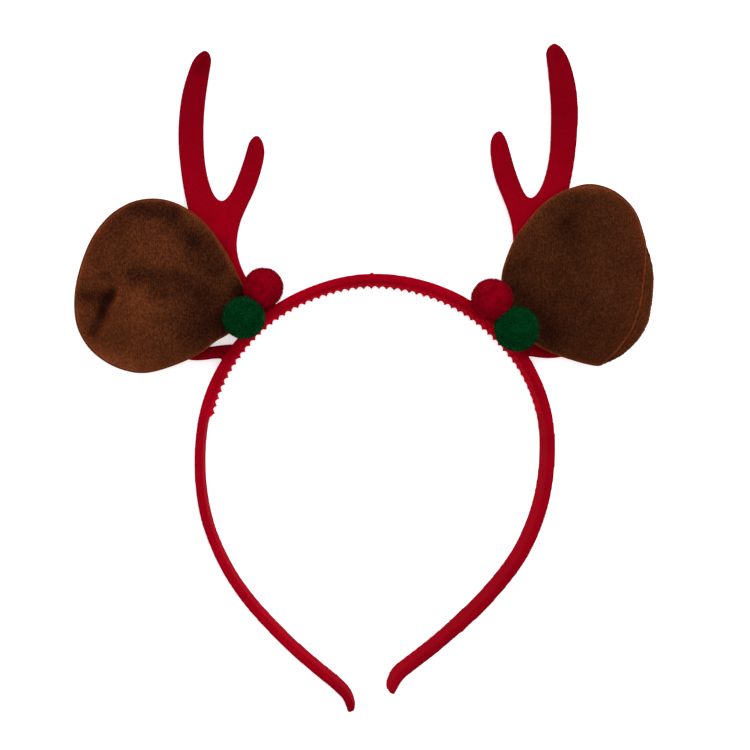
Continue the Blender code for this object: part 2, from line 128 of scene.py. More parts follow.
# Columns: name, x, y, radius, height of the flat side, how far it is pressed in.
POMPOMS = [
    ("pompom_red_left", -39.2, 30.7, 7.0, 6.7, 0.9),
    ("pompom_green_left", -46.0, 20.6, 7.3, 9.85, 1.7),
    ("pompom_red_right", 39.6, 26.6, 7.3, 9.85, 2.0),
    ("pompom_green_right", 48.2, 16.4, 7.9, 9.85, 1.2),
]
# How far apart pompoms may be and still press on each other, and the gap that is left where they do.
PRESS_RANGE = 0.9
PRESS_GAP = 0.1
# How deep a pompom's core lies under its fibre ends and inside its flat sides. Its lumps: height, grain.
CORE_DEPTH = 0.42
CORE_GAP = 0.05
BIG_LUMPS = (0.22, 3.1)
SMALL_LUMPS = (0.1, 11.0)
YARN_SEED = 11
# Fibres. Columns: how many to a square millimetre, length, radius at the root, lean in radians.
YARN_ENDS = (8.0, 0.75, 0.13, 0.45)
EAR_PILE = (2.4, 0.5, 0.1, 0.6)
EAR_SEED = 5
# How deep fibres root under the skin, and the smallest and the largest of them.
FIBRE_ROOT = 0.1
FIBRE_SCALES = (0.75, 1.1)

# Outlines of the ears from the neck round, seen from the front.
EAR_LEFT = [
    (-43.6, 24.6), (-44.4, 28.6), (-46.4, 32.4), (-50.0, 39.5), (-54.0, 46.6), (-58.9, 52.9),
    (-65.2, 57.8), (-71.6, 60.4), (-78.0, 61.0), (-84.4, 59.4), (-91.0, 55.3), (-96.5, 48.4),
    (-100.3, 40.2), (-102.7, 31.1), (-103.3, 22.6), (-101.9, 15.7), (-97.9, 9.3), (-91.9, 4.6),
    (-85.5, 2.2), (-79.6, 1.6), (-73.4, 2.9), (-66.3, 5.4), (-60.2, 8.6), (-55.6, 12.2),
    (-51.6, 14.2), (-47.8, 16.8), (-45.0, 20.4),
]
EAR_RIGHT_TOP = [
    (44.6, 26.4), (44.2, 31.6), (45.0, 36.6), (46.8, 42.0), (49.2, 47.8), (52.4, 52.4),
    (56.8, 57.6), (62.4, 62.2), (69.0, 65.4), (75.9, 66.6), (83.3, 64.9), (89.2, 60.9),
    (93.0, 56.0), (95.6, 49.4),
]
# On the right of the right ear the seam runs inside the outline, as the back panel bulges past it.
EAR_RIGHT_INSIDE = [
    (95.7, 45.6), (95.4, 41.4), (94.6, 34.9), (93.6, 26.5), (92.2, 20.9), (90.6, 16.6),
    (87.9, 12.2), (84.9, 8.4), (81.9, 5.4),
]
EAR_RIGHT_LOW = [
    (79.6, 3.1), (74.7, 3.6), (69.3, 5.2), (63.9, 7.0), (58.8, 9.1), (54.2, 12.2), (50.2, 16.6),
    (46.8, 21.4),
]
# The welt along an ear's seam: its radius, its sides, and the steps between two points of its path.
SEAM_RADIUS = 0.42
SEAM_SIDES = 8
SEAM_STEPS = 5
# The middle of each ear, by the side that it is on.
EAR_MIDDLES = ((-76.0, 31.0), (73.0, 34.0))
# How an ear's edge is looked for: lowest height, step, steps, how far outside it, how far inwards.
RIM_SCAN = (3.0, 0.4, 30, 6, 14)
# The height from which an ear's front is looked for.
FRONT_SCAN = 40.0
# Grain and smoothing of an ear's skin before its filling swells it.
EAR_VOXEL = 0.9
EAR_ROUNDS = 2
# The filling, as pressure in a cloth simulation on a copy ten times as large, because cloth of a few
# centimetres hardly moves.
CLOTH_SCALE = 10.0
CLOTH_FRAMES = 20
CLOTH = {
    "quality": 6, "mass": 0.3, "tension_stiffness": 15, "compression_stiffness": 15,
    "bending_stiffness": 0.5, "use_pressure": True, "uniform_pressure_force": 4.0,
}
# How far the filling may move a point, and how far it pushes an ear's rim out.
MOST_SWELL = 0.5
RIM_FILL = 0.45
# How far the right ear's back panel lies behind its seam, and how far past the seam's ends it does.
PANEL_STEP = 1.5
PANEL_PAST = 0.9
# Past the seam: where the panel drops, where it comes back, where its painted highlight starts. Columns:
# start, run.
PANEL_DROPS = (-0.2, 0.9)
PANEL_BACK = (2.4, 2.0)
PANEL_PALE = (0.8, 1.4)
# How much a surface faces the front where it counts as front, and where and how fast the rim's painted
# highlight starts.
FRONT_RUN = 0.5
RIM_STARTS = (0.8, 0.5)

# Creases of the front panels. Columns: ear, x and y at both ends, depth, half width.
CREASES = [
    ("ear_left", -89.8, 29.6, -98.6, 28.2, 0.4, 1.6), ("ear_left", -89.6, 29.4, -97.2, 16.6, 0.6, 1.6),
    ("ear_left", -87.9, 30.6, -88.3, 27.0, -0.35, 0.8), ("ear_left", -88.3, 27.0, -92.0, 21.8, -0.35, 0.8),
    ("ear_left", -93.6, 34.8, -91.2, 34.4, 0.4, 1.5), ("ear_left", -83.5, 13.7, -70.6, 19.0, 0.35, 1.6),
    ("ear_left", -66.0, 30.0, -54.0, 26.0, 0.3, 2.6), ("ear_right", 66.0, 14.0, 56.0, 17.0, 0.5, 3.0),
    ("ear_right", 70.0, 54.0, 73.0, 42.0, 0.25, 3.4),
]
# Painted light and shade on the ears: darker in the creases, folds and near the pompoms, lighter on bulges
# and along rims. Columns: ear, x, y at both ends, half width, shift of tone.
EAR_LIGHT_AND_SHADE = [
    ("ear_left", -102.8, 24.8, -100.6, 14.0, 1.4, 0.08), ("ear_left", -100.0, 13.0, -92.9, 6.4, 2.0, 0.12),
    ("ear_left", -92.5, 6.8, -83.8, 4.1, 2.2, 0.14), ("ear_right", 66.0, 66.3, 82.0, 64.8, 2.0, 0.16),
    ("ear_left", -82.0, 57.6, -69.2, 56.7, 3.1, -0.28), ("ear_left", -71.7, 57.8, -71.7, 57.4, 2.0, 0.05),
    ("ear_left", -69.0, 54.0, -62.5, 46.0, 3.0, -0.15), ("ear_left", -61.5, 46.0, -57.0, 37.0, 4.2, -0.2),
    ("ear_left", -56.0, 46.0, -53.0, 37.0, 3.0, -0.14), ("ear_left", -82.6, 34.4, -67.4, 34.6, 3.4, -0.2),
    ("ear_left", -76.0, 29.4, -71.6, 28.6, 2.6, -0.18), ("ear_left", -72.0, 30.4, -60.0, 29.5, 3.2, -0.05),
    ("ear_left", -90.2, 28.6, -93.2, 22.4, 2.0, -0.3), ("ear_left", -93.4, 22.0, -96.8, 15.4, 1.9, -0.32),
    ("ear_left", -91.0, 27.6, -97.6, 27.4, 2.0, -0.24), ("ear_left", -93.6, 25.4, -95.0, 24.2, 1.8, -0.12),
    ("ear_left", -88.0, 30.2, -88.2, 27.2, 0.9, 0.18), ("ear_left", -88.4, 27.0, -92.0, 21.4, 0.9, 0.15),
    ("ear_left", -99.5, 27.4, -98.0, 27.0, 2.0, -0.1), ("ear_left", -92.0, 27.2, -91.4, 27.0, 1.2, -0.14),
    ("ear_left", -65.0, 13.6, -58.5, 17.0, 2.6, -0.05), ("ear_right", 64.4, 56.0, 64.4, 56.0, 2.0, 0.1),
    ("ear_left", -81.5, 23.5, -81.5, 23.5, 6.5, 0.12), ("ear_right", 75.0, 17.8, 75.0, 17.8, 2.6, -0.06),
    ("ear_right", 64.4, 10.9, 64.4, 10.9, 2.6, -0.08),
    ("ear_left", -65.0, 41.6, -62.0, 37.5, 2.4, -0.09), ("ear_left", -61.0, 28.0, -59.0, 16.0, 6.0, -0.26),
    ("ear_left", -53.0, 20.0, -50.5, 22.0, 4.5, -0.36), ("ear_left", -47.6, 29.0, -46.0, 31.0, 3.4, -0.42),
    ("ear_left", -67.0, 20.0, -67.0, 16.0, 5.0, -0.12), ("ear_left", -92.0, 8.0, -80.0, 4.5, 4.0, 0.08),
    ("ear_left", -95.5, 47.0, -88.0, 54.0, 4.0, -0.14), ("ear_left", -93.2, 34.8, -91.4, 34.5, 1.6, -0.12),
    ("ear_right", 71.0, 59.0, 66.0, 54.0, 5.0, -0.16), ("ear_right", 66.0, 52.0, 69.5, 43.0, 4.5, -0.12),
    ("ear_right", 70.0, 66.0, 82.0, 66.0, 2.5, 0.06), ("ear_right", 49.5, 43.5, 56.0, 51.0, 3.4, 0.09),
    ("ear_right", 53.0, 26.0, 60.0, 15.0, 4.5, -0.2), ("ear_right", 48.5, 31.0, 48.5, 29.0, 3.0, -0.15),
    ("ear_right", 66.0, 29.0, 72.0, 27.0, 4.0, -0.1), ("ear_right", 72.0, 17.0, 72.0, 14.0, 9.0, -0.07),
    ("ear_right", 76.8, 43.5, 76.8, 41.5, 4.0, 0.07), ("ear_right", 49.0, 37.6, 52.0, 38.6, 2.8, -0.12),
    ("ear_right", 61.0, 23.0, 61.0, 10.0, 4.0, -0.09), ("ear_right", 62.5, 36.4, 62.5, 34.0, 2.8, -0.09),
]
# Where the filling bulges an ear's outline. Columns: ear, x, y at both ends, half width, push in x, y.
BULGES = [
    ("ear_right", 98.0, 18.0, 89.0, 7.0, 4.0, 0.5, -0.4),
    ("ear_right", 44.0, 36.0, 48.5, 47.0, 3.0, -0.45, 0.15),
]
# How much painted highlight lies where a panel turns over at its rim, and on the right ear's back panel.
RIM_PAINTED_HIGHLIGHT = 0.16
PANEL_PAINTED_HIGHLIGHT = 0.1
# Painted shade that darkens the flock towards the antler tips: from which y to which, in metres, and by how
# much.
TIP_PAINTED_SHADE = (0.02, 0.118, 0.62)
# Painted shade on the flock: the ears' shadow on the low tines, shade at the left antler's root behind the
# pompom, and darker along the right arm, at the left tip of the hoop and at the antler tips. Columns: x and
# y at both ends, half width, how much.
FLOCK_SHADE_LINES = [
    (-54.0, 9.0, -68.0, 9.6, 4.0, 0.85), (54.0, 8.8, 66.0, 8.8, 4.0, 0.6),
    (-53.0, 46.0, -46.0, 30.0, 4.0, 0.45), (50.0, -71.0, 14.0, -104.5, 7.0, 0.3),
    (-14.0, -112.0, -10.0, -119.0, 6.0, 0.35), (64.0, -25.0, 58.0, -55.0, 7.0, 0.15),
    (-60.0, 105.0, -58.0, 111.0, 6.0, 0.78), (64.0, 111.0, 64.0, 114.0, 5.0, 0.7),
]

# The two soft lights. Columns: name, place, size, power in watts, warmth as a colour.
LIGHTS = [
    ("top_softbox", (60, 520, 520), 420, 3.2, "#FFFAF6"),
    ("front_softbox", (-40, 60, 700), 500, 2.0, "#F8FAFF"),
]
ROOM_LIGHT = 0.55
FLOOR_GLOW = 0.5
FLOOR_HALF = 12.0

# Camera: the point that it looks from, the point that it looks at, and its lens in millimetres.
CAMERA_EYE = (-63.740, 40.532, 550.788)
CAMERA_TARGET = (0.0, 0.0, 6.0)
CAMERA_LENS = 75.43


def placed(point):
    x, y, z = point
    return Vector(((x - BOX_CENTRE[0]) * MM, (y - BOX_CENTRE[1]) * MM, z * MM))


def table_place(point):
    return point.x / MM + BOX_CENTRE[0], point.y / MM + BOX_CENTRE[1]


def hex_colour(code):
    """An sRGB hex colour as the linear colour that a shader takes."""
    channels = []
    for start in (1, 3, 5):
        value = int(code[start:start + 2], 16) / 255
        channels.append(value / 12.92 if value <= 0.04045 else ((value + 0.055) / 1.055) ** 2.4)
    return (*channels, 1.0)


def ease(share):
    share = max(0.0, min(1.0, share))
    return share * share * (3 - 2 * share)


def blend(rows, span, share, closed):
    """A row between rows span and span + 1 of a table, on a smooth curve through all of them."""
    count = len(rows)
    picks = []
    for offset in (-1, 0, 1, 2):
        index = span + offset
        picks.append(rows[index % count] if closed else rows[max(0, min(count - 1, index))])
    values = []
    for before, start, end, after in zip(*picks):
        slope_in = (end - before) / 2
        slope_out = (after - start) / 2
        cubic = 2 * start - 2 * end + slope_in + slope_out
        square = 3 * end - 3 * start - 2 * slope_in - slope_out
        values.append(((cubic * share + square) * share + slope_in) * share + start)
    return tuple(values)


def smooth_loop(rows, steps):
    return [blend(rows, span, step / steps, True) for span in range(len(rows)) for step in range(steps)]


def away(x, y, x1, y1, x2, y2):
    """The distance of a point from a line between two points."""
    along = Vector((x2 - x1, y2 - y1))
    share = Vector((x - x1, y - y1)).dot(along) / max(along.length_squared, 0.0001)
    return (Vector((x - x1, y - y1)) - along * max(0.0, min(1.0, share))).length


def near(x, y, x1, y1, x2, y2, half):
    """One on a line between two points, falling off softly to both sides of it."""
    return math.exp(-((away(x, y, x1, y1, x2, y2) / half) ** 2))


def camera():
    """The camera stands a little to the upper left of the headband and looks down on it."""
    eye = placed(CAMERA_EYE)
    ahead = (placed(CAMERA_TARGET) - eye).normalized()
    right = ahead.cross(Vector((0, 1, 0))).normalized()
    up = right.cross(ahead)
    data = bpy.data.cameras.new("camera")
    data.sensor_width = 36
    data.lens = CAMERA_LENS
    data.clip_start = 0.01
    made = bpy.data.objects.new("camera", data)
    made.matrix_world = Matrix((
        (right.x, up.x, -ahead.x, eye.x),
        (right.y, up.y, -ahead.y, eye.y),
        (right.z, up.z, -ahead.z, eye.z),
        (0, 0, 0, 1),
    ))
    bpy.context.scene.collection.objects.link(made)
    bpy.context.scene.camera = made


def lights():
    for name, place, size, power, colour in LIGHTS:
        data = bpy.data.lights.new(name, "AREA")
        data.shape = "SQUARE"
        data.size = size * MM
        data.energy = power
        data.color = hex_colour(colour)[:3]
        made = bpy.data.objects.new(name, data)
        made.location = placed(place)
        made.rotation_euler = (placed((0, 0, 0)) - made.location).to_track_quat("-Z", "Y").to_euler()
        bpy.context.scene.collection.objects.link(made)
    world = bpy.data.worlds.new("studio")
    bpy.context.scene.world = world
    world.use_nodes = True
    background = world.node_tree.nodes["Background"]
    background.inputs["Color"].default_value = (1, 1, 1, 1)
    background.inputs["Strength"].default_value = ROOM_LIGHT
    bpy.context.scene.view_settings.view_transform = "Standard"


def add(tree, kind, links=None, stops=(), **settings):
    """A node with its settings, its colour stops, and what its sockets are linked from or set to."""
    node = tree.nodes.new(kind)
    for name, value in settings.items():
        setattr(node, name, value)
    for index, (position, colour) in enumerate(stops):
        if index >= len(node.color_ramp.elements):
            node.color_ramp.elements.new(position)
        node.color_ramp.elements[index].position = position
        node.color_ramp.elements[index].color = hex_colour(colour)
    for socket, value in (links or {}).items():
        if isinstance(value, bpy.types.NodeSocket):
            tree.links.new(value, node.inputs[socket])
        else:
            node.inputs[socket].default_value = value
    return node


def material(name, **shader):
    made = bpy.data.materials.new(name)
    made.use_nodes = True
    tree = made.node_tree
    principled = tree.nodes["Principled BSDF"]
    for socket, value in shader.items():
        principled.inputs[socket.replace("_", " ")].default_value = value
    return made, tree, principled


def per_metre(millimetres):
    """The scale of a pattern in Object coordinates whose grain is this size."""
    return 1 / (millimetres * MM)


def flocked_plastic(name, stops):
    """Nylon flock on moulded polypropylene: short upright fibres, so it is matt, deep red, a little paler
    where the light grazes it, and mottled where the fibres lean. Painted shade darkens it towards the
    antler tips and along the lines of its painted_flock_shade attribute."""
    made, tree, shader = material(
        name, Roughness=1.0, IOR=1.53, Sheen_Weight=0.12, Sheen_Roughness=0.5, Specular_IOR_Level=0.02,
    )
    shader.inputs["Sheen Tint"].default_value = hex_colour("#E00028")
    place = add(tree, "ShaderNodeTexCoord").outputs["Object"]
    patches = add(tree, "ShaderNodeTexNoise", {"Vector": place, "Scale": per_metre(11), "Detail": 3.0})
    # Flock fibres are 0.5 mm long and finer than the picture shows, so their grain is drawn at that length.
    grain = add(tree, "ShaderNodeTexNoise", {"Vector": place, "Scale": per_metre(0.6), "Detail": 2.0})
    mixed = add(tree, "ShaderNodeMix", {
        "Factor": 0.5, "A": patches.outputs["Fac"], "B": grain.outputs["Fac"],
    })
    tone = add(tree, "ShaderNodeValToRGB", {"Fac": mixed.outputs["Result"]}, stops=stops)
    upwards = add(tree, "ShaderNodeSeparateXYZ", {"Vector": place}).outputs["Y"]
    start, end, most = TIP_PAINTED_SHADE
    # Painted shade towards the antler tips, as a ramp over height.
    tip_shade = add(tree, "ShaderNodeMapRange", {
        "Value": upwards, "From Min": start, "From Max": end, "To Min": 0.0, "To Max": most,
    }, interpolation_type="SMOOTHSTEP")
    # Painted shade: towards the antler tips and along the listed lines the flock is mixed towards dark red.
    painted_flock_shade = add(tree, "ShaderNodeAttribute", attribute_name="painted_flock_shade").outputs["Fac"]
    flock_shade_total = add(tree, "ShaderNodeMath", {0: tip_shade.outputs["Result"], 1: painted_flock_shade}, operation="MAXIMUM")
    shaded_flock_colour = add(tree, "ShaderNodeMix", {
        "Factor": flock_shade_total.outputs["Value"], "A": tone.outputs["Color"], "B": hex_colour("#4C0008"),
    }, data_type="RGBA")
    tree.links.new(shaded_flock_colour.outputs[2], shader.inputs["Base Color"])
    bump = add(tree, "ShaderNodeBump", {
        "Height": grain.outputs["Fac"], "Strength": 0.5, "Distance": 0.00012,
    })
    tree.links.new(bump.outputs["Normal"], shader.inputs["Normal"])
    return made


def velour(name, stops, sheen):
    """Brown polyester velour: a dense short pile that shades dark from the front and glows at its edges, in
    soft patches where it has been brushed, with the faint upright ribs of its knitted back. Painted light
    and shade from the ears' attribute shift its tone."""
    made, tree, shader = material(
        name, Roughness=1.0, IOR=1.5, Sheen_Weight=0.8, Sheen_Roughness=0.5, Specular_IOR_Level=0.03,
    )
    shader.inputs["Sheen Tint"].default_value = hex_colour(sheen)
    place = add(tree, "ShaderNodeTexCoord").outputs["Object"]
    clouds = add(tree, "ShaderNodeTexNoise", {"Vector": place, "Scale": per_metre(9), "Detail": 3.0})
    patches = add(tree, "ShaderNodeMapRange", {
        "Value": clouds.outputs["Fac"], "To Min": 0.25, "To Max": 0.75,
    })
    # Single fibres are 0.02 mm thick: tufts of them are drawn, as wide as the picture can show.
    stretched = add(tree, "ShaderNodeMapping", {"Vector": place, "Scale": (1.0, 0.65, 1.0)})
    tufts = add(tree, "ShaderNodeTexNoise", {
        "Vector": stretched.outputs["Vector"], "Scale": per_metre(0.62), "Detail": 3.0, "Roughness": 0.65,
    })
    sharp = add(tree, "ShaderNodeMapRange", {
        "Value": tufts.outputs["Fac"], "From Min": 0.34, "From Max": 0.66,
    })
    # The ribs of the knit stand 0.8 mm apart, and a wave of scale 1 repeats every 0.314.
    ribs = add(tree, "ShaderNodeTexWave", {
        "Vector": place, "Scale": 0.314 * per_metre(0.8),
        "Distortion": 3.0, "Detail": 2.0, "Detail Scale": 0.6,
    })
    fine = add(tree, "ShaderNodeMix", {
        "Factor": 0.14, "A": sharp.outputs["Result"], "B": ribs.outputs["Fac"],
    })
    mixed = add(tree, "ShaderNodeMix", {
        "Factor": 0.4, "A": patches.outputs["Result"], "B": fine.outputs["Result"],
    })
    # Painted light and shade of the ears, read from their attribute, shift the tone.
    painted_light_and_shade = add(tree, "ShaderNodeAttribute", attribute_name="painted_light_and_shade").outputs["Fac"]
    value = add(tree, "ShaderNodeMath", {0: mixed.outputs["Result"], 1: painted_light_and_shade}, operation="ADD")
    tone = add(tree, "ShaderNodeValToRGB", {"Fac": value.outputs["Value"]}, stops=stops)
    tree.links.new(tone.outputs["Color"], shader.inputs["Base Color"])
    bump = add(tree, "ShaderNodeBump", {
        "Height": fine.outputs["Result"], "Strength": 0.6, "Distance": 0.0002,
    })
    tree.links.new(bump.outputs["Normal"], shader.inputs["Normal"])
    return made


def yarn(name, stops, sheen, glow):
    """Dense acrylic yarn cut to a ball: matt, darker between the fibre ends, a touch paler at the rim."""
    made, tree, shader = material(
        name, Roughness=1.0, IOR=1.5, Sheen_Weight=glow, Sheen_Roughness=0.4, Specular_IOR_Level=0.02,
    )
    shader.inputs["Sheen Tint"].default_value = hex_colour(sheen)
    place = add(tree, "ShaderNodeTexCoord").outputs["Object"]
    grain = add(tree, "ShaderNodeTexNoise", {"Vector": place, "Scale": per_metre(3.2), "Detail": 4.0})
    tone = add(tree, "ShaderNodeValToRGB", {"Fac": grain.outputs["Fac"]}, stops=stops)
    tree.links.new(tone.outputs["Color"], shader.inputs["Base Color"])
    # Cut yarn ends are about 0.3 mm across and are drawn a little coarser than that.
    ends = add(tree, "ShaderNodeTexNoise", {"Vector": place, "Scale": per_metre(0.5), "Detail": 2.0})
    bump = add(tree, "ShaderNodeBump", {
        "Height": ends.outputs["Fac"], "Strength": 0.5, "Distance": 0.0002,
    })
    tree.links.new(bump.outputs["Normal"], shader.inputs["Normal"])
    return made


def floor_finish():
    """Matt white acrylic of a light table, lit from below so that shadows on it stay faint."""
    made, tree, shader = material("white_acrylic", Roughness=0.9, IOR=1.49, Emission_Strength=FLOOR_GLOW)
    shader.inputs["Emission Color"].default_value = (1, 1, 1, 1)
    place = add(tree, "ShaderNodeTexCoord").outputs["Object"]
    grain = add(tree, "ShaderNodeTexNoise", {"Vector": place, "Scale": 12.0, "Detail": 2.0})
    tone = add(
        tree, "ShaderNodeValToRGB", {"Fac": grain.outputs["Fac"]},
        stops=[(0.3, "#F4F4F4"), (0.7, "#F8F8F8")],
    )
    tree.links.new(tone.outputs["Color"], shader.inputs["Base Color"])
    return made


def studio_floor():
    shape = bmesh.new()
    bmesh.ops.create_grid(shape, x_segments=1, y_segments=1, size=FLOOR_HALF)
    made = finished(shape, "studio_floor", floor_finish(), False)


def finished(shape, name, finish, smooth):
    """An object at the origin from a bmesh in metres."""
    mesh = bpy.data.meshes.new(name)
    shape.to_mesh(mesh)
    shape.free()
    if smooth:
        mesh.shade_smooth()
    made = bpy.data.objects.new(name, mesh)
    bpy.context.scene.collection.objects.link(made)
    if finish:
        made.data.materials.append(finish)
    return made


def drawn_bar(rings):
    """A bar extruded ring by ring along its path."""
    shape = bmesh.new()
    cap = shape.faces.new([shape.verts.new(placed(point)) for point in rings[0]])
    for ring in rings[1:]:
        made = bmesh.ops.extrude_face_region(shape, geom=[cap])
        cap = next(item for item in made["geom"] if isinstance(item, bmesh.types.BMFace))
        for vertex, point in zip(cap.verts, ring):
            vertex.co = placed(point)
    bmesh.ops.recalc_face_normals(shape, faces=shape.faces[:])
    return shape


def plate(outline, low, high):
    """A flat plate extruded from a smooth outline."""
    shape = bmesh.new()
    rim = [shape.verts.new(placed((x, y, low))) for x, y in smooth_loop(outline, OUTLINE_STEPS)]
    made = bmesh.ops.extrude_face_region(shape, geom=[shape.faces.new(rim)])
    top = [item for item in made["geom"] if isinstance(item, bmesh.types.BMVert)]
    bmesh.ops.translate(shape, verts=top, vec=(0, 0, (high - low) * MM))
    bmesh.ops.recalc_face_normals(shape, faces=shape.faces[:])
    return shape


def joined(shapes):
    """Several shapes as one, each with its own closed skin."""
    whole = bmesh.new()
    for shape in shapes:
        mesh = bpy.data.meshes.new("joined")
        shape.to_mesh(mesh)
        shape.free()
        whole.from_mesh(mesh)
        bpy.data.meshes.remove(mesh)
    return whole


def fused(shape, voxel, rounds):
    """The shape's skins fused into one even skin, its edges softened."""
    helper = finished(shape, "fusing", None, False)
    remesh = helper.modifiers.new("fuse", "REMESH")
    remesh.mode = "VOXEL"
    remesh.voxel_size = voxel * MM
    bpy.context.view_layer.update()
    graph = bpy.context.evaluated_depsgraph_get()
    mesh = bpy.data.meshes.new_from_object(helper.evaluated_get(graph))
    bpy.data.objects.remove(helper)
    skin = bmesh.new()
    skin.from_mesh(mesh)
    bpy.data.meshes.remove(mesh)
    for _ in range(rounds):
        bmesh.ops.smooth_vert(
            skin, verts=skin.verts[:], factor=0.5, use_axis_x=True, use_axis_y=True, use_axis_z=True,
        )
    return skin


def hoop_row(position):
    """The hoop's row at a fractional row number, with its inward direction."""
    span = min(int(position), len(HOOP) - 2)
    share = position - span
    x, y, depth, wall = blend(HOOP, span, share, False)
    ahead = blend(HOOP, span, min(1.0, share + HOOP_LOOK), False)
    behind = blend(HOOP, span, max(0.0, share - HOOP_LOOK), False)
    along = Vector((ahead[0] - behind[0], ahead[1] - behind[1])).normalized()
    return x, y, min(depth, 2 * PARTING_Z), wall, Vector((-along.y, along.x))


def hoop_point(row, inward, height):
    x, y, depth, _, inside = row
    reach = inward + (depth / 2 - height) * math.tan(WALL_LEAN)
    return (x + inside.x * reach, y + inside.y * reach, PARTING_Z + height)


def hoop_bar():
    rings = []
    for step in range((len(HOOP) - 1) * HOOP_STEPS + 1):
        row = hoop_row(step / HOOP_STEPS)
        half = row[2] / 2
        section = [(0.0, -half), (row[3], -half), (row[3], half), (0.0, half)]
        rings.append([hoop_point(row, inward, height) for inward, height in section])
    return drawn_bar(rings)


def gate_stub():
    """The trimmed stub where the plastic ran into the mould."""
    x, y, radius, length, taper = GATE
    shape = bmesh.new()
    bmesh.ops.create_cone(
        shape, cap_ends=True, segments=16,
        radius1=radius * MM, radius2=taper * radius * MM, depth=length * MM,
        matrix=Matrix.Translation(placed((x, y - length / 2, PARTING_Z)))
        @ Matrix.Rotation(math.radians(-90), 4, "X"),
    )
    return shape


def moulding(finish):
    """Hoop and antlers, moulded in one piece."""
    low = PARTING_Z - ANTLER_THICKNESS / 2
    high = PARTING_Z + ANTLER_THICKNESS / 2
    parts = [hoop_bar(), gate_stub()]
    for outline in (BEAM_LEFT, TINE_LEFT, BEAM_RIGHT, TINE_RIGHT):
        parts.append(plate(outline, low, high))
    skin = fused(joined(parts), FLOCK_VOXEL, FLOCK_ROUNDS)
    # Painted shade along the listed lines, kept as an attribute of the moulding's points.
    painted_flock_shade = skin.verts.layers.float.new("painted_flock_shade")
    for vertex in skin.verts:
        vertex.co += vertex.normal * (1 - abs(vertex.normal.z)) * FLOCK_FILL * MM
        x, y = table_place(vertex.co)
        vertex[painted_flock_shade] = sum(much * near(x, y, *ends, half) for *ends, half, much in FLOCK_SHADE_LINES)
    made = finished(skin, "moulded_hoop_and_antlers", finish, True)
    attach(made, "root")
    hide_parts("band_with_antlers")


def comb_teeth(finish):
    """The comb of round valleys and sharp points along the middle of the inner wall."""
    first, last = COMB_ROWS
    fine = [first + (last - first) * index / COMB_SAMPLES for index in range(COMB_SAMPLES + 1)]
    inner = []
    for spot in fine:
        row = hoop_row(spot)
        inner.append(Vector(hoop_point(row, row[3], 0.0)))
    length = [0.0]
    for start, end in zip(inner, inner[1:]):
        length.append(length[-1] + (end - start).length)
    teeth = round(length[-1] / TOOTH_PITCH)
    rings = []
    for mark in range(teeth * COMB_MARKS + 1):
        target = mark / (teeth * COMB_MARKS) * length[-1]
        index = min(bisect.bisect_right(length, target), COMB_SAMPLES) - 1
        part = (target - length[index]) / (length[index + 1] - length[index])
        spot = fine[index] + (fine[index + 1] - fine[index]) * part
        row = hoop_row(spot)
        rise = 1 - math.sin(math.pi * (mark / COMB_MARKS + 0.5) % math.pi)
        low = 1 - COMB_FADE[2] * ease((COMB_FADE[0] - spot) / COMB_FADE[1])
        top = row[3] + (COMB_VALLEY + (COMB_POINT - COMB_VALLEY) * rise) * low
        root = row[3] - COMB_ROOT
        narrow = COMB_HALF_DEPTH - COMB_TAPER * rise
        rings.append([
            hoop_point(row, root, -COMB_HALF_DEPTH), hoop_point(row, top, -narrow),
            hoop_point(row, top, narrow), hoop_point(row, root, COMB_HALF_DEPTH),
        ])
    made = finished(drawn_bar(rings), "comb_teeth", finish, False)
    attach(made, "root")


def pile(carrier, name, finish, fibres, seed):
    """Upright fibres all over a piece where its growth attribute says so, as one mesh of small cones."""
    dense, length, radius, lean = fibres
    tree = bpy.data.node_groups.new(name, "GeometryNodeTree")
    tree.interface.new_socket("Geometry", in_out="INPUT", socket_type="NodeSocketGeometry")
    tree.interface.new_socket("Geometry", in_out="OUTPUT", socket_type="NodeSocketGeometry")
    skin = add(tree, "NodeGroupInput").outputs["Geometry"]
    growth = add(tree, "GeometryNodeInputNamedAttribute", {"Name": "growth"}, data_type="FLOAT")
    density = add(tree, "ShaderNodeMath", {
        0: growth.outputs["Attribute"], 1: dense / MM ** 2,
    }, operation="MULTIPLY")
    roots = add(tree, "GeometryNodeDistributePointsOnFaces", {
        "Mesh": skin, "Density": density.outputs["Value"], "Seed": seed,
    })
    cone = add(tree, "GeometryNodeMeshCone", {
        "Vertices": 3, "Radius Top": 0.0, "Radius Bottom": radius * MM, "Depth": length * MM,
    })
    fibre = add(tree, "GeometryNodeTransform", {
        "Geometry": cone.outputs["Mesh"], "Translation": (0.0, 0.0, -FIBRE_ROOT * MM),
    })
    tilt = add(tree, "FunctionNodeRandomValue", {
        "Min": (-lean, -lean, -math.pi), "Max": (lean, lean, math.pi), "Seed": seed,
    }, data_type="FLOAT_VECTOR")
    turned = add(tree, "FunctionNodeRotateRotation", {
        "Rotation": roots.outputs["Rotation"], "Rotate By": tilt.outputs["Value"],
    }, rotation_space="LOCAL")
    scales = add(tree, "FunctionNodeRandomValue", {
        2: FIBRE_SCALES[0], 3: FIBRE_SCALES[1], "Seed": seed + 1,
    }, data_type="FLOAT")
    stood = add(tree, "GeometryNodeInstanceOnPoints", {
        "Points": roots.outputs["Points"], "Instance": fibre.outputs["Geometry"],
        "Rotation": turned.outputs["Rotation"], "Scale": scales.outputs[1],
    })
    grown = add(tree, "GeometryNodeRealizeInstances", {"Geometry": stood.outputs["Instances"]})
    add(tree, "NodeGroupOutput", {"Geometry": grown.outputs["Geometry"]})
    growing = carrier.modifiers.new("growing", "NODES")
    growing.node_group = tree
    bpy.context.view_layer.update()
    graph = bpy.context.evaluated_depsgraph_get()
    mesh = bpy.data.meshes.new_from_object(carrier.evaluated_get(graph))
    carrier.modifiers.remove(growing)
    mesh.name = name
    mesh.materials.clear()
    mesh.materials.append(finish)
    made = bpy.data.objects.new(name, mesh)
    bpy.context.scene.collection.objects.link(made)
    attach(made, "root")
    return made


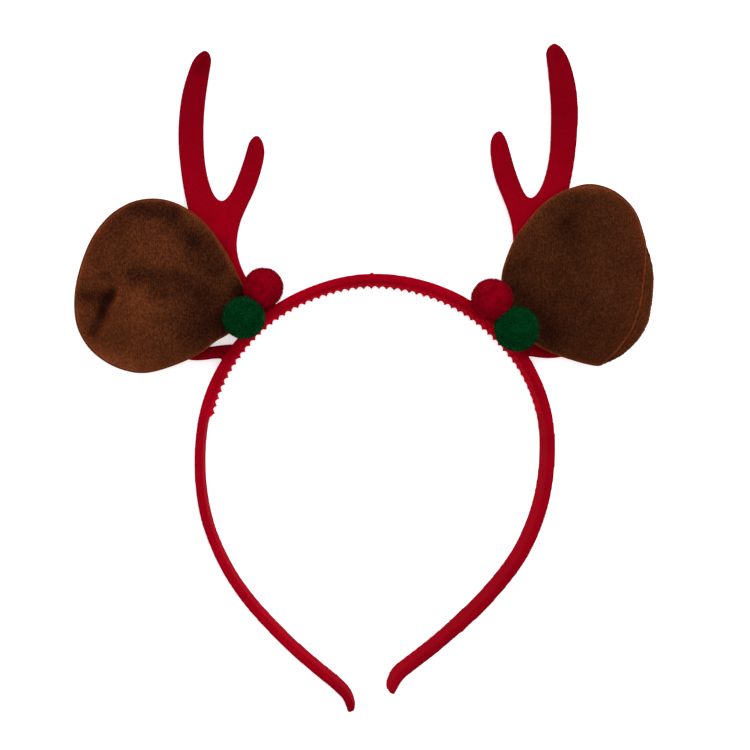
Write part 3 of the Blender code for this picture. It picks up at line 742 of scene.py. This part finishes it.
def swollen(node):
    """A copy of a soft solid, puffed up by its filling, no point of it moved further than MOST_SWELL."""
    source = bmesh.new()
    source.from_mesh(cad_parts[node].data)
    bmesh.ops.remove_doubles(source, verts=source.verts[:], dist=0.00001)
    shape = fused(source, EAR_VOXEL, EAR_ROUNDS)
    bmesh.ops.scale(shape, vec=(CLOTH_SCALE, CLOTH_SCALE, CLOTH_SCALE), verts=shape.verts[:])
    helper = finished(shape, "swelling", None, False)
    before = [vertex.co.copy() for vertex in helper.data.vertices]
    moved = before
    cloth = helper.modifiers.new("filling", "CLOTH")
    for setting, value in CLOTH.items():
        setattr(cloth.settings, setting, value)
    cloth.settings.effector_weights.gravity = 0
    cloth.collision_settings.use_collision = False
    cloth.collision_settings.use_self_collision = False
    cloth.point_cache.frame_start = 1
    cloth.point_cache.frame_end = CLOTH_FRAMES
    for step in range(1, CLOTH_FRAMES + 1):
        bpy.context.scene.frame_set(step)
    graph = bpy.context.evaluated_depsgraph_get()
    mesh = bpy.data.meshes.new_from_object(helper.evaluated_get(graph))
    moved = [vertex.co.copy() for vertex in mesh.vertices]
    bpy.data.meshes.remove(mesh)
    bpy.context.scene.frame_set(1)
    for vertex, start, end in zip(helper.data.vertices, before, moved):
        step = end - start
        if step.length > MOST_SWELL * MM * CLOTH_SCALE:
            step = step.normalized() * MOST_SWELL * MM * CLOTH_SCALE
        vertex.co = (start + step) / CLOTH_SCALE
    shape = bmesh.new()
    shape.from_mesh(helper.data)
    bpy.data.objects.remove(helper)
    return shape


def past_seam(x, y):
    """How far a point of the right ear lies outside its inner seam."""
    best = (1000.0, 0.0)
    for start, end in zip(EAR_RIGHT_INSIDE, EAR_RIGHT_INSIDE[1:]):
        far = away(x, y, *start, *end)
        turn = (end[0] - start[0]) * (y - start[1]) - (end[1] - start[1]) * (x - start[0])
        best = min(best, (far, far if turn > 0 else -far))
    lowest = EAR_RIGHT_INSIDE[-1][1] - PANEL_PAST
    highest = EAR_RIGHT_INSIDE[0][1] + PANEL_PAST
    return best[1] if lowest < y < highest else -1.0


def plush_ear(node, finish, name):
    """One padded ear: swollen by its filling, then creased, with its painted light and shade as an
    attribute.
    """
    shape = swollen(node)
    bmesh.ops.subdivide_edges(shape, edges=shape.edges[:], cuts=1, use_grid_fill=True, smooth=0.6)
    bmesh.ops.smooth_vert(
        shape, verts=shape.verts[:], factor=0.5, use_axis_x=True, use_axis_y=True, use_axis_z=True,
    )
    shape.normal_update()
    painted_light_and_shade = shape.verts.layers.float.new("painted_light_and_shade")
    growth = shape.verts.layers.float.new("growth")
    for vertex in shape.verts:
        vertex[growth] = 1.0
        x, y = table_place(vertex.co)
        front = ease(vertex.normal.z / FRONT_RUN)
        drop = 0.0
        tone = 0.0
        if front > 0:
            drop = sum(deep * near(x, y, *ends, half) for ear, *ends, deep, half in CREASES if ear == node)
            tone = sum(shift * near(x, y, *ends, half) for ear, *ends, half, shift in EAR_LIGHT_AND_SHADE if ear == node)
            if node == "ear_right":
                beyond = past_seam(x, y)
                dropped = ease((beyond - PANEL_DROPS[0]) / PANEL_DROPS[1])
                drop += PANEL_STEP * dropped * (1 - ease((beyond - PANEL_BACK[0]) / PANEL_BACK[1]))
                # Painted highlight on the back panel past its seam.
                tone += PANEL_PAINTED_HIGHLIGHT * ease((beyond - PANEL_PALE[0]) / PANEL_PALE[1])
        vertex.co += vertex.normal * (1 - abs(vertex.normal.z)) * RIM_FILL * MM
        for ear, x1, y1, x2, y2, half, *push in BULGES:
            if ear == node:
                vertex.co += Vector((*push, 0)) * near(x, y, x1, y1, x2, y2, half) * MM
        vertex.co.z -= drop * front * MM
        # Painted highlight where the surface turns over at the rim.
        rim = ease((RIM_STARTS[0] - abs(vertex.normal.z)) / RIM_STARTS[1])
        vertex[painted_light_and_shade] = tone * front + RIM_PAINTED_HIGHLIGHT * rim
    made = finished(shape, name, finish, True)
    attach(made, "root")
    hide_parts(node)
    pile(made, "pile_" + node, finish, EAR_PILE, EAR_SEED)
    return made


def rim_point(skin, x, y, outward):
    """The furthest point of an ear's edge near a point of its outline."""
    best = None
    lowest, rise, steps, outside, reach = RIM_SCAN
    for step in range(steps):
        start = placed((x, y, lowest + rise * step)) + outward * outside * MM
        spot, _, _, far = skin.ray_cast(start, -outward, reach * MM)
        if spot and (best is None or far < best[0]):
            best = (far, spot)
    return best[1] if best else None


def ear_seam(ear, stretches, finish, name):
    """The narrow welt where two panels meet. Stretches: points, whether they run along the ear's edge."""
    skin = BVHTree.FromObject(ear, bpy.context.evaluated_depsgraph_get())
    spots = []
    for points, at_edge in stretches:
        for index, (x, y) in enumerate(points):
            if at_edge:
                before = points[max(0, index - 1)]
                after = points[min(len(points) - 1, index + 1)]
                along = Vector((after[0] - before[0], after[1] - before[1], 0)).normalized()
                middle = Vector((*EAR_MIDDLES[x > 0], 0))
                outward = Vector((along.y, -along.x, 0))
                if outward.dot(Vector((x, y, 0)) - middle) < 0:
                    outward = -outward
                spot = rim_point(skin, x, y, outward)
            else:
                spot, _, _, _ = skin.ray_cast(placed((x, y, FRONT_SCAN)), Vector((0, 0, -1)))
            if spot:
                spots.append(tuple(spot / MM))
    path = [
        Vector(blend(spots, span, step / SEAM_STEPS, False))
        for span in range(len(spots) - 1) for step in range(SEAM_STEPS)
    ]
    rings = []
    for index, point in enumerate(path):
        along = (path[min(len(path) - 1, index + 1)] - path[max(0, index - 1)]).normalized()
        side = along.cross(Vector((0, 0, 1))).normalized()
        over = side.cross(along)
        ring = []
        for corner in range(SEAM_SIDES):
            angle = math.tau * corner / SEAM_SIDES
            spot = point + (side * math.cos(angle) + over * math.sin(angle)) * SEAM_RADIUS
            ring.append((spot.x + BOX_CENTRE[0], spot.y + BOX_CENTRE[1], spot.z))
        rings.append(ring)
    made = finished(drawn_bar(rings), name, finish, True)
    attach(made, "root")


def pompom_centre(pompom):
    _, x, y, radius, base, pressed = pompom
    return Vector((x, y, base + radius - pressed))


def pressed_walls(pompom):
    """The flat sides of a pompom, as a direction out of it and a distance from its centre."""
    name, _, _, radius, base, _ = pompom
    centre = pompom_centre(pompom)
    walls = [(Vector((0, 0, -1)), centre.z - base)]
    for other in POMPOMS:
        between = pompom_centre(other) - centre
        if other[0] != name and between.length < radius + other[3] + PRESS_RANGE:
            share = radius / (radius + other[3])
            walls.append((between.normalized(), between.length * share - PRESS_GAP))
    return walls


def yarn_pompom(pompom, finish, seed):
    """A dense ball of yarn, flat where it is glued or pressed, with cut ends standing out all round."""
    name, _, _, radius, _, _ = pompom
    centre = pompom_centre(pompom)
    walls = pressed_walls(pompom)
    shape = bmesh.new()
    bmesh.ops.create_icosphere(shape, subdivisions=5, radius=1.0)
    growth = shape.verts.layers.float.new("growth")
    for vertex in shape.verts:
        out = vertex.co.normalized()
        reach = radius - CORE_DEPTH
        reach += BIG_LUMPS[0] * noise.noise(out * BIG_LUMPS[1] + Vector((seed, 0, 0)))
        reach += SMALL_LUMPS[0] * noise.noise(out * SMALL_LUMPS[1] + Vector((0, seed, 0)))
        free = reach
        for wall, distance in walls:
            if out.dot(wall) > 0:
                reach = min(reach, (distance - CORE_GAP) / out.dot(wall))
        vertex.co = placed(centre + out * reach)
        vertex[growth] = 1.0 if reach == free else 0.0
    made = finished(shape, name + "_yarn", finish, True)
    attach(made, "root")
    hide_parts(name)
    pile(made, name + "_yarn_ends", finish, YARN_ENDS, seed)


camera()
lights()
studio_floor()
moulding(flocked_plastic("red_nylon_flock", [(0.3, "#80000F"), (0.5, "#8E0013"), (0.7, "#9C0018")]))
# The comb's flock is a lighter copy of the moulding's, painted light against the shade that the hoop's rim
# casts on it.
comb_teeth(flocked_plastic("red_nylon_flock_comb_painted_light", [(0.3, "#940012"), (0.5, "#A40017"), (0.7, "#B2001D")]))
BROWN_SHEEN = "#A23C16"
brown_left = velour("brown_velour_left", [
    (0.0, "#100604"), (0.25, "#271109"), (0.5, "#45220F"), (0.75, "#64331A"), (1.0, "#86482E"),
], BROWN_SHEEN)
# The right ear's velour is the same fabric as the left's, painted darker as shade.
brown_right_painted_darker = velour("brown_velour_right_painted_darker", [
    (0.0, "#0C0403"), (0.25, "#1D0C06"), (0.5, "#351A0B"), (0.75, "#4F2813"), (1.0, "#6C3920"),
], BROWN_SHEEN)
# The seam's welt is the same velour, painted lighter as the highlight along the ears' rims.
brown_seam_painted_highlight = velour("brown_velour_seam_painted_highlight", [(0.2, "#3E1C0C"), (0.55, "#592A14"), (0.8, "#723A1E")], "#A84A20")
left = plush_ear("ear_left", brown_left, "plush_ear_left")
ear_seam(left, [(EAR_LEFT, True)], brown_seam_painted_highlight, "seam_ear_left")
right = plush_ear("ear_right", brown_right_painted_darker, "plush_ear_right")
ear_seam(
    right, [(EAR_RIGHT_TOP, True), (EAR_RIGHT_INSIDE, False), (EAR_RIGHT_LOW, True)], brown_seam_painted_highlight,
    "seam_ear_right",
)
red_yarn = yarn("red_acrylic_yarn", [(0.35, "#700010"), (0.65, "#8A0016")], "#E01030", 0.6)
green_yarn = yarn("green_acrylic_yarn", [(0.35, "#00200B"), (0.65, "#012C12")], "#12A050", 1.0)
for number, pompom in enumerate(POMPOMS):
    yarn_pompom(pompom, red_yarn if "red" in pompom[0] else green_yarn, YARN_SEED + number)
